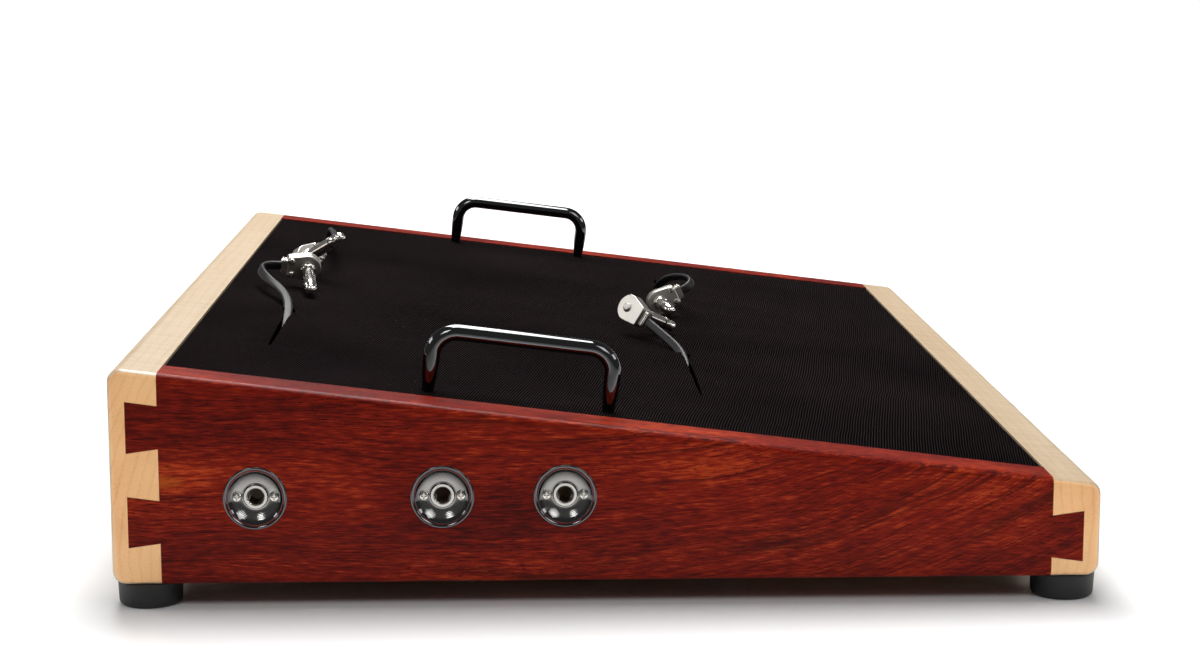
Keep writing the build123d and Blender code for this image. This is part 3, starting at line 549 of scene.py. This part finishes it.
def maple(name, ring_y, ring_z):
    """Growth rings lie round an axis along the rail, at that y and z. The ends are yellower."""
    finish = Finish(name)
    facing, _, _ = finish.parts(finish.node("ShaderNodeTexCoord", output="Normal"))
    end_grain = (facing * facing).eased(0.3, 0.8)
    _, y, z = finish.parts(finish.place())
    sway = finish.noise(finish.place((0.5, 3.0, 3.0)), 9.0, 3.0)
    out_y = y - ring_y
    out_z = z - ring_z
    radius = (out_y * out_y + out_z * out_z) ** 0.5
    rings = ((radius + sway * 0.008) / RING_SPACING).wave() ** 6.0
    fibres = finish.noise(finish.place((0.03, 1.0, 1.0)), 1500.0, 4.0, 0.65)
    curl = finish.noise(finish.place((1.0, 0.16, 0.16)), 130.0, 3.0, 0.5)
    broad = finish.noise(finish.place((0.1, 1.0, 1.0)), 40.0, 2.0)
    tone = rings * 0.07 + fibres * 0.3 + curl * 0.25 + broad * 0.35
    side_colour = finish.ramp(tone, [
        (0.34, tint(200, 180, 153)), (0.5, tint(187, 163, 133)), (0.68, tint(172, 142, 108))])
    end_colour = finish.ramp(tone, [
        (0.34, tint(255, 203, 142)), (0.5, tint(247, 188, 127)), (0.68, tint(222, 154, 97))])
    colour = finish.blend(end_grain, side_colour, end_colour)
    fleck = finish.noise(finish.place((0.05, 1.0, 1.0)), 2600.0, 2.0, 0.5).eased(0.66, 0.74)
    colour = finish.blend(fleck * 0.4, colour, tint(168, 122, 80))
    return finish.surface(Base_Color=colour, Roughness=curl * 0.15 + 0.3, Coat_Weight=0.2,
                          Coat_Roughness=0.25, Normal=finish.relief(fibres, 0.00004, 0.5))


for name, centre in RING_CENTRES.items():
    dress(name, maple(f"maple_{name}", *centre))

# --- Deck board and cleats ---
# The deck is birch plywood with a milled slot under each slit. Pine cleats glued inside the frame
# carry it, and screws come up through them.

PLY_PITCH = 0.0026


def plywood():
    finish = Finish("birch_plywood")
    _, y, z = finish.parts(finish.place())
    level = z - y * SLOPE
    plies = (level / PLY_PITCH).wave().eased(0.4, 0.6)
    fibres = finish.noise(finish.place((0.04, 1.0, 1.0)), 900.0, 4.0, 0.6)
    colour = finish.ramp(fibres, [(0.35, tint(214, 178, 128)), (0.7, tint(186, 146, 98))])
    colour = finish.blend(plies * 0.35, colour, tint(140, 98, 62))
    return finish.surface(Base_Color=colour, Roughness=fibres * 0.2 + 0.6,
                          Normal=finish.relief(fibres, 0.00008))


def pine():
    finish = Finish("pine")
    fibres = finish.noise(finish.place((0.04, 0.5, 1.0)), 500.0, 4.0, 0.6)
    bands = finish.noise(finish.place((0.03, 0.3, 1.0)), 120.0, 2.0)
    colour = finish.ramp(fibres * 0.5 + bands * 0.5, [
        (0.35, tint(222, 186, 132)), (0.65, tint(190, 144, 90))])
    return finish.surface(Base_Color=colour, Roughness=fibres * 0.2 + 0.6,
                          Normal=finish.relief(fibres, 0.0001))


dress("deck_board", plywood())
cleat_finish = pine()
for name in ("rear_cleat", "front_cleat", "left_cleats", "right_cleats"):
    dress(name, cleat_finish)

# --- Deck cloth ---
# One piece of black ribbed loop cloth is stretched over the board and turned down round its edges.
# Four slits are cut through it, and each has opened and lifted where its cable comes out.

CLOTH_THICKNESS = 0.0011
CLOTH_TURN_DOWN = 0.011
CLOTH_ARRIS = 0.0009
CLOTH_MARGIN = 0.0002
CLOTH_LIFT = -0.000022
CLOTH_GRID_X = 96
CLOTH_GRID_Y = 68
SAME_PLACE = 1e-6
ON_EDGE = 1e-5
RIB_PITCH = 0.00115
LOOP_PITCH = 0.0013
RIB_LEAN = math.radians(9)
LIP_TURN_IN = 0.0045
SLIT_HALF = 0.052
SLIT_CUT = 0.0005
SLITS = {"rear_left": (-0.13, 0.147), "rear_right": (0.13, 0.147),
         "front_left": (-0.13, -0.045), "front_right": (0.13, -0.045)}
SLIT_LINES = (-0.014, -0.009, -0.0055, -0.003, -0.0015, -SLIT_CUT,
              SLIT_CUT, 0.0015, 0.003, 0.0055, 0.009, 0.014)
SLIT_REACH = 0.0141
SLIT_FADE = 0.0135
SLIT_OPENING = 0.0006
LIP_WIDTH = 0.0042
LIP_RISE = 0.0007
FRONT_LIP_SHARE = 0.45
CABLE_REACH = 0.011
CABLE_OPENING = 0.0024
CABLE_LIP_RISE = 0.0016


def ribbed_loop_cloth():
    finish = Finish("loop_cloth")
    x, y, _ = finish.parts(finish.place())
    drift = finish.noise(finish.place(), 14.0, 2.0)
    across = y * math.cos(RIB_LEAN) + x * math.sin(RIB_LEAN) + drift * 0.004
    along = x * math.cos(RIB_LEAN) - y * math.sin(RIB_LEAN)
    ribs = (across / RIB_PITCH).wave()
    loops = ((along + across * 0.6) / LOOP_PITCH).wave()
    fuzz = finish.noise(finish.place(), 2200.0, 3.0, 0.7)
    height = ribs * 0.5 + loops * ribs * 0.35 + fuzz * 0.4
    wear = finish.noise(finish.place(), 11.0, 3.0)
    # Painted shade: the colour follows the ribs and loops and is darker in their troughs. Fuzz and
    # wear add random tone.
    colour = finish.ramp(ribs * 0.3 + loops * 0.15 + fuzz * 0.35 + wear * 0.2, [
        (0.36, tint(1, 1, 1)), (0.5, tint(14, 11, 12)), (0.66, tint(40, 34, 34))])
    lint = finish.noise(finish.place(), 700.0, 2.0, 0.4).eased(0.77, 0.81)
    colour = finish.blend(lint * 0.45, colour, tint(120, 115, 110))
    return finish.surface(Base_Color=colour, Roughness=fuzz * 0.1 + 0.88, Specular_IOR_Level=0.0,
                          Normal=finish.relief(height, 0.0005, 0.9))


def bisected(bm, point, across):
    """Cuts every face that the plane through that point passes."""
    bmesh.ops.bisect_plane(bm, geom=bm.verts[:] + bm.edges[:] + bm.faces[:], dist=SAME_PLACE,
                           plane_co=point, plane_no=across)


def cut_slits(bm, slits):
    """Draws extra lines beside each slit, and takes out the narrow strip in its middle."""
    for middle_v in sorted({v for _, v in slits.values()}):
        for offset in SLIT_LINES:
            bisected(bm, (0, middle_v + offset, 0), (0, 1, 0))
    for middle_u in sorted({u for u, _ in slits.values()}):
        for end in (-SLIT_HALF, SLIT_HALF):
            bisected(bm, (middle_u + end, 0, 0), (1, 0, 0))
    strips = []
    for face in bm.faces:
        centre = face.calc_center_median()
        for middle_u, middle_v in slits.values():
            if abs(centre.x - middle_u) < SLIT_HALF and abs(centre.y - middle_v) < SLIT_CUT:
                strips.append(face)
    bmesh.ops.delete(bm, geom=strips, context="FACES")


def shape_slit(bm, middle, exit_x):
    """Opens one slit to a narrow lens, wider round the cable, and lifts its lips unevenly."""
    middle_u, middle_v = middle
    for vert in bm.verts:
        du, dv = vert.co.x - middle_u, vert.co.y - middle_v
        if abs(du) > SLIT_HALF or abs(dv) > SLIT_REACH:
            continue
        lens = 1 - (du / SLIT_HALF) ** 2
        near_cable = math.exp(-(((vert.co.x - exit_x) / CABLE_REACH) ** 2))
        opening = SLIT_OPENING * lens + CABLE_OPENING * near_cable
        fade = max(0.0, 1 - (abs(dv) - SLIT_CUT) / SLIT_FADE)
        vert.co.y += math.copysign(opening * fade * fade, dv)
        lip = math.exp(-((abs(dv) / LIP_WIDTH) ** 2))
        uneven = 0.75 + 0.25 * math.sin(vert.co.x * 190 + middle_v * 60)
        share = 1.0 if dv > 0 else FRONT_LIP_SHARE
        vert.co.z += lip * (LIP_RISE * lens * uneven + CABLE_LIP_RISE * near_cable) * share


def hang(bm, edges, drop):
    """Hangs a strip of that depth from the edges."""
    made = bmesh.ops.extrude_edge_only(bm, edges=edges)["geom"]
    bmesh.ops.translate(bm, vec=(0, 0, -drop), verts=corners(made))


def deck_cloth():
    """The cloth, made level and then tilted with the deck, and the flat size that it's cut to."""
    width = fabric_high.x - fabric_low.x - CLOTH_MARGIN
    depth = (fabric_high.y - fabric_low.y - CLOTH_MARGIN) / math.cos(TILT)
    middle_y = (fabric_high.y + fabric_low.y) / 2
    bm = bmesh.new()
    bmesh.ops.create_grid(bm, x_segments=CLOTH_GRID_X, y_segments=CLOTH_GRID_Y, size=0.5)
    bmesh.ops.scale(bm, vec=(width, depth, 1), verts=bm.verts)
    slits = {name: (x, (y - middle_y) / math.cos(TILT)) for name, (x, y) in SLITS.items()}
    cut_slits(bm, slits)
    rim = [edge for edge in bm.edges if edge.is_boundary]
    outer = [edge for edge in rim
             if all(abs(abs(vert.co.x) - width / 2) < ON_EDGE for vert in edge.verts)
             or all(abs(abs(vert.co.y) - depth / 2) < ON_EDGE for vert in edge.verts)]
    for name, middle in slits.items():
        _, route = CABLES[name]
        above = next(place for place in route if place[2] > -CLOTH_THICKNESS)
        shape_slit(bm, middle, above[0])
    hang(bm, [edge for edge in rim if edge not in outer], LIP_TURN_IN)
    hang(bm, outer, CLOTH_TURN_DOWN)
    bmesh.ops.bevel(bm, geom=outer, offset=CLOTH_ARRIS, segments=3, profile=0.5,
                    affect="EDGES", material=-1)
    bmesh.ops.rotate(bm, cent=(0, 0, 0), matrix=Matrix.Rotation(TILT, 3, "X"), verts=bm.verts)
    bmesh.ops.translate(bm, vec=deck_point(0, middle_y, CLOTH_LIFT), verts=bm.verts)
    cloth = mesh_from(bm, "deck_cloth", ribbed_loop_cloth(), 60)
    solid = cloth.modifiers.new("thickness", "SOLIDIFY")
    solid.thickness = CLOTH_THICKNESS
    solid.offset = -1
    return cloth, (width + 2 * CLOTH_TURN_DOWN, depth + 2 * CLOTH_TURN_DOWN)


cloth, cloth_cut = deck_cloth()
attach(cloth, "board")
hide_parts("deck_fabric")

# --- Handles ---
# Two bent-wire pulls in polished chrome. Each leg narrows to a small shoulder where it meets the
# cloth, and a bolt comes up into it from under the deck. A leg is given as (rise, wire radius).

HANDLE_SPAN = 0.0762
HANDLE_RISE = 0.0261
HANDLE_WIRE = 0.0035
HANDLE_FOOT = 0.0026
HANDLE_BEND = 0.0105
HANDLE_Y = 0.0371
HANDLE_LEG = [(0.0, HANDLE_FOOT), (0.0006, HANDLE_FOOT), (0.0035, 0.00287), (0.008, 0.00329),
              (0.012, HANDLE_WIRE)]
BEND_STEPS = 12
WIRE_SIDES = 24


def handle_path(x):
    """From one foot up, over and down to the other, and the wire's radius at each point."""
    half = HANDLE_SPAN / 2
    flat = [(-half, rise) for rise, _ in HANDLE_LEG]
    radii = [radius for _, radius in HANDLE_LEG]
    for middle, start in ((-half + HANDLE_BEND, math.pi), (half - HANDLE_BEND, math.pi / 2)):
        for step in range(BEND_STEPS + 1):
            angle = start - math.pi / 2 * step / BEND_STEPS
            flat.append((middle + HANDLE_BEND * math.cos(angle),
                         HANDLE_RISE - HANDLE_BEND + HANDLE_BEND * math.sin(angle)))
            radii.append(HANDLE_WIRE)
    flat += [(half, rise) for rise, _ in reversed(HANDLE_LEG)]
    radii += [radius for _, radius in reversed(HANDLE_LEG)]
    base = deck_point(x, HANDLE_Y, 0)
    return [base + DECK_RISE * along + DECK_NORMAL * rise for along, rise in flat], radii


# Painted shade: the chrome's colour is far darker than real chrome, so that its reflections look
# dark.
chrome = bright_metal("painted_dark_chrome", (0.12, 0.122, 0.125, 1.0), 0.03, 0.02)
turns = [math.tau * side / WIRE_SIDES for side in range(WIRE_SIDES)]
wire_outline = [(HANDLE_WIRE * math.cos(turn), HANDLE_WIRE * math.sin(turn)) for turn in turns]
for name in ("left_handle", "right_handle"):
    low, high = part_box(name)
    path, radii = handle_path((low.x + high.x) / 2)
    sizes = [radius / HANDLE_WIRE for radius in radii]
    frames = ribbon_frames(path, Vector((1, 0, 0)))
    bm = bmesh.new()
    swept(bm, wire_outline, [place @ Matrix.Diagonal((size, size, 1, 1))
                             for place, size in zip(frames, sizes)])
    pull = mesh_from(bm, f"{name}_pull", chrome, 50)
    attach(pull, "board")
    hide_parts(name)

# --- Jacks ---
# Each jack sits in a spun and chromed dish that is let into the end panel. Two screws hold the
# dish, and fine turning marks ring its hollow. Behind it are the plated frame, fibre wafers and
# tip spring.

JACK_HEIGHT = 0.0465
TURNING_PITCH = 0.00055


def turned_chrome(name, y):
    """Chrome with fine rings round the jack's own axis. Its colour is painted far darker than real
    chrome at the rim, as painted shade, and paler in the hollow, as a painted highlight.
    """
    finish = Finish(name)
    _, py, pz = finish.parts(finish.place())
    out_y, out_z = py - y, pz - JACK_HEIGHT
    radius = (out_y * out_y + out_z * out_z) ** 0.5
    drift = finish.noise(finish.place(), 300.0, 2.0)
    rings = (radius / TURNING_PITCH + drift * 0.6).wave()
    hollow = 1.0 - radius.eased(0.0088, 0.0105)
    # Painted shade and painted highlight: the dark rim and the paler hollow stand in for the
    # dish's reflections.
    shade = finish.blend(hollow, (0.12, 0.12, 0.122, 1.0), (0.27, 0.265, 0.255, 1.0))
    return finish.surface(Base_Color=shade, Metallic=1.0, Roughness=hollow * 0.1 + 0.04,
                          Normal=finish.relief(rings * hollow, 0.00003, 0.8))


# The dish's section as (distance from its axis, depth behind the panel's face), from the recess,
# over the rolled rim and down the hollow to the neck.
DISH_SECTION = [
    (0.0111, 0.0012), (0.0111, 0.0002), (0.0125, 0.0001), (0.01292, 0.0), (0.013, -0.00018),
    (0.01288, -0.00038), (0.01262, -0.00049), (0.01228, -0.00048), (0.01196, -0.00032),
    (0.01165, -0.00004), (0.0113, 0.00034), (0.0108, 0.00085), (0.0101, 0.0015), (0.0093, 0.00212),
    (0.0084, 0.00268), (0.0075, 0.00312), (0.0067, 0.00342), (0.006, 0.0036), (0.0054, 0.00366),
    (0.00505, 0.00356), (0.00482, 0.0033), (0.00478, 0.0031), (0.00478, 0.0058), (0.0108, 0.0058)]
DISH_TURNS = 96


def spun_dish(name, y, finish):
    """The section spun round the jack's axis, in the panel's outer face."""
    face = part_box("left_side_panel")[0].x
    bm = bmesh.new()
    line = [bm.verts.new((face + depth, y, JACK_HEIGHT + out)) for out, depth in DISH_SECTION]
    edges = [bm.edges.new(pair) for pair in zip(line, line[1:])]
    bmesh.ops.spin(bm, geom=line + edges, cent=(face, y, JACK_HEIGHT), axis=(1, 0, 0),
                   dvec=(0, 0, 0), angle=math.tau, steps=DISH_TURNS, use_merge=True)
    dish = mesh_from(bm, f"{name}_dish", finish, 50)
    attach(dish, "board")
    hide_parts(name)


nickel = bright_metal("nickel_plate", (0.72, 0.69, 0.64, 1.0), 0.2)
cast_nickel = bright_metal("cast_nickel", (0.52, 0.495, 0.455, 1.0), 0.32, 0.14)
spring_metal = bright_metal("spring_metal", (0.70, 0.62, 0.48, 1.0), 0.22)


def mottled(name, dark, light, roughness, scale=400.0):
    """A plain moulded or fibre material with a slight mottle."""
    finish = Finish(name)
    cloud = finish.noise(finish.place(), scale, 3.0)
    colour = finish.ramp(cloud, [(0.35, dark), (0.7, light)])
    return finish.surface(Base_Color=colour, Roughness=cloud * 0.12 + roughness,
                          Normal=finish.relief(cloud, 0.00003))


fibre = mottled("vulcan_fibre", tint(58, 42, 32), tint(86, 62, 46), 0.6)
nylon = mottled("natural_nylon", tint(206, 205, 200), tint(226, 225, 220), 0.45)
dark_ring = mottled("insulating_ring", tint(14, 14, 14), tint(26, 26, 26), 0.4)
for place in ("rear", "middle", "front"):
    cup_low, cup_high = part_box(f"jack_cup_{place}")
    middle = (cup_low.y + cup_high.y) / 2
    spun_dish(f"jack_cup_{place}", middle, turned_chrome(f"turned_chrome_{place}", middle))
    dress(f"jack_frame_{place}", nickel)
    dress(f"jack_insulator_{place}", fibre)
    dress(f"jack_tip_spring_{place}", spring_metal)

# --- Feet and fasteners ---
# Four moulded rubber feet, each with a washer and screw up in its recess, and the zinc-plated
# screws, bolts and washers that hold the handles and the deck.

rubber = mottled("moulded_rubber", tint(17, 17, 17), tint(27, 27, 27), 0.5, 900.0)
zinc = bright_metal("zinc_plate", (0.62, 0.62, 0.60, 1.0), 0.3, 0.1)
PLAIN = {
    rubber: ("foot_front_left", "foot_front_right", "foot_rear_left", "foot_rear_right"),
    zinc: ("foot_washers", "foot_screws", "deck_screws", "handle_washers", "handle_screws"),
    nickel: ("jack_cup_screws",),
    spring_metal: ("jack_tip_lugs",),
    nylon: ("cable_clips", "cable_tie"),
    dark_ring: ("plug_insulators",),
}
for finish, names in PLAIN.items():
    for name in names:
        dress(name, finish)

# --- Plugs ---
# Flat phone plugs in cast and plated zinc: a housing, a back cover, a turned barrel and tip, and
# two screws that close the housing on the cable.

for name in CABLES:
    for part in ("housing", "cover"):
        dress(f"plug_{part}_{name}", cast_nickel)
dress("plug_screws", nickel)
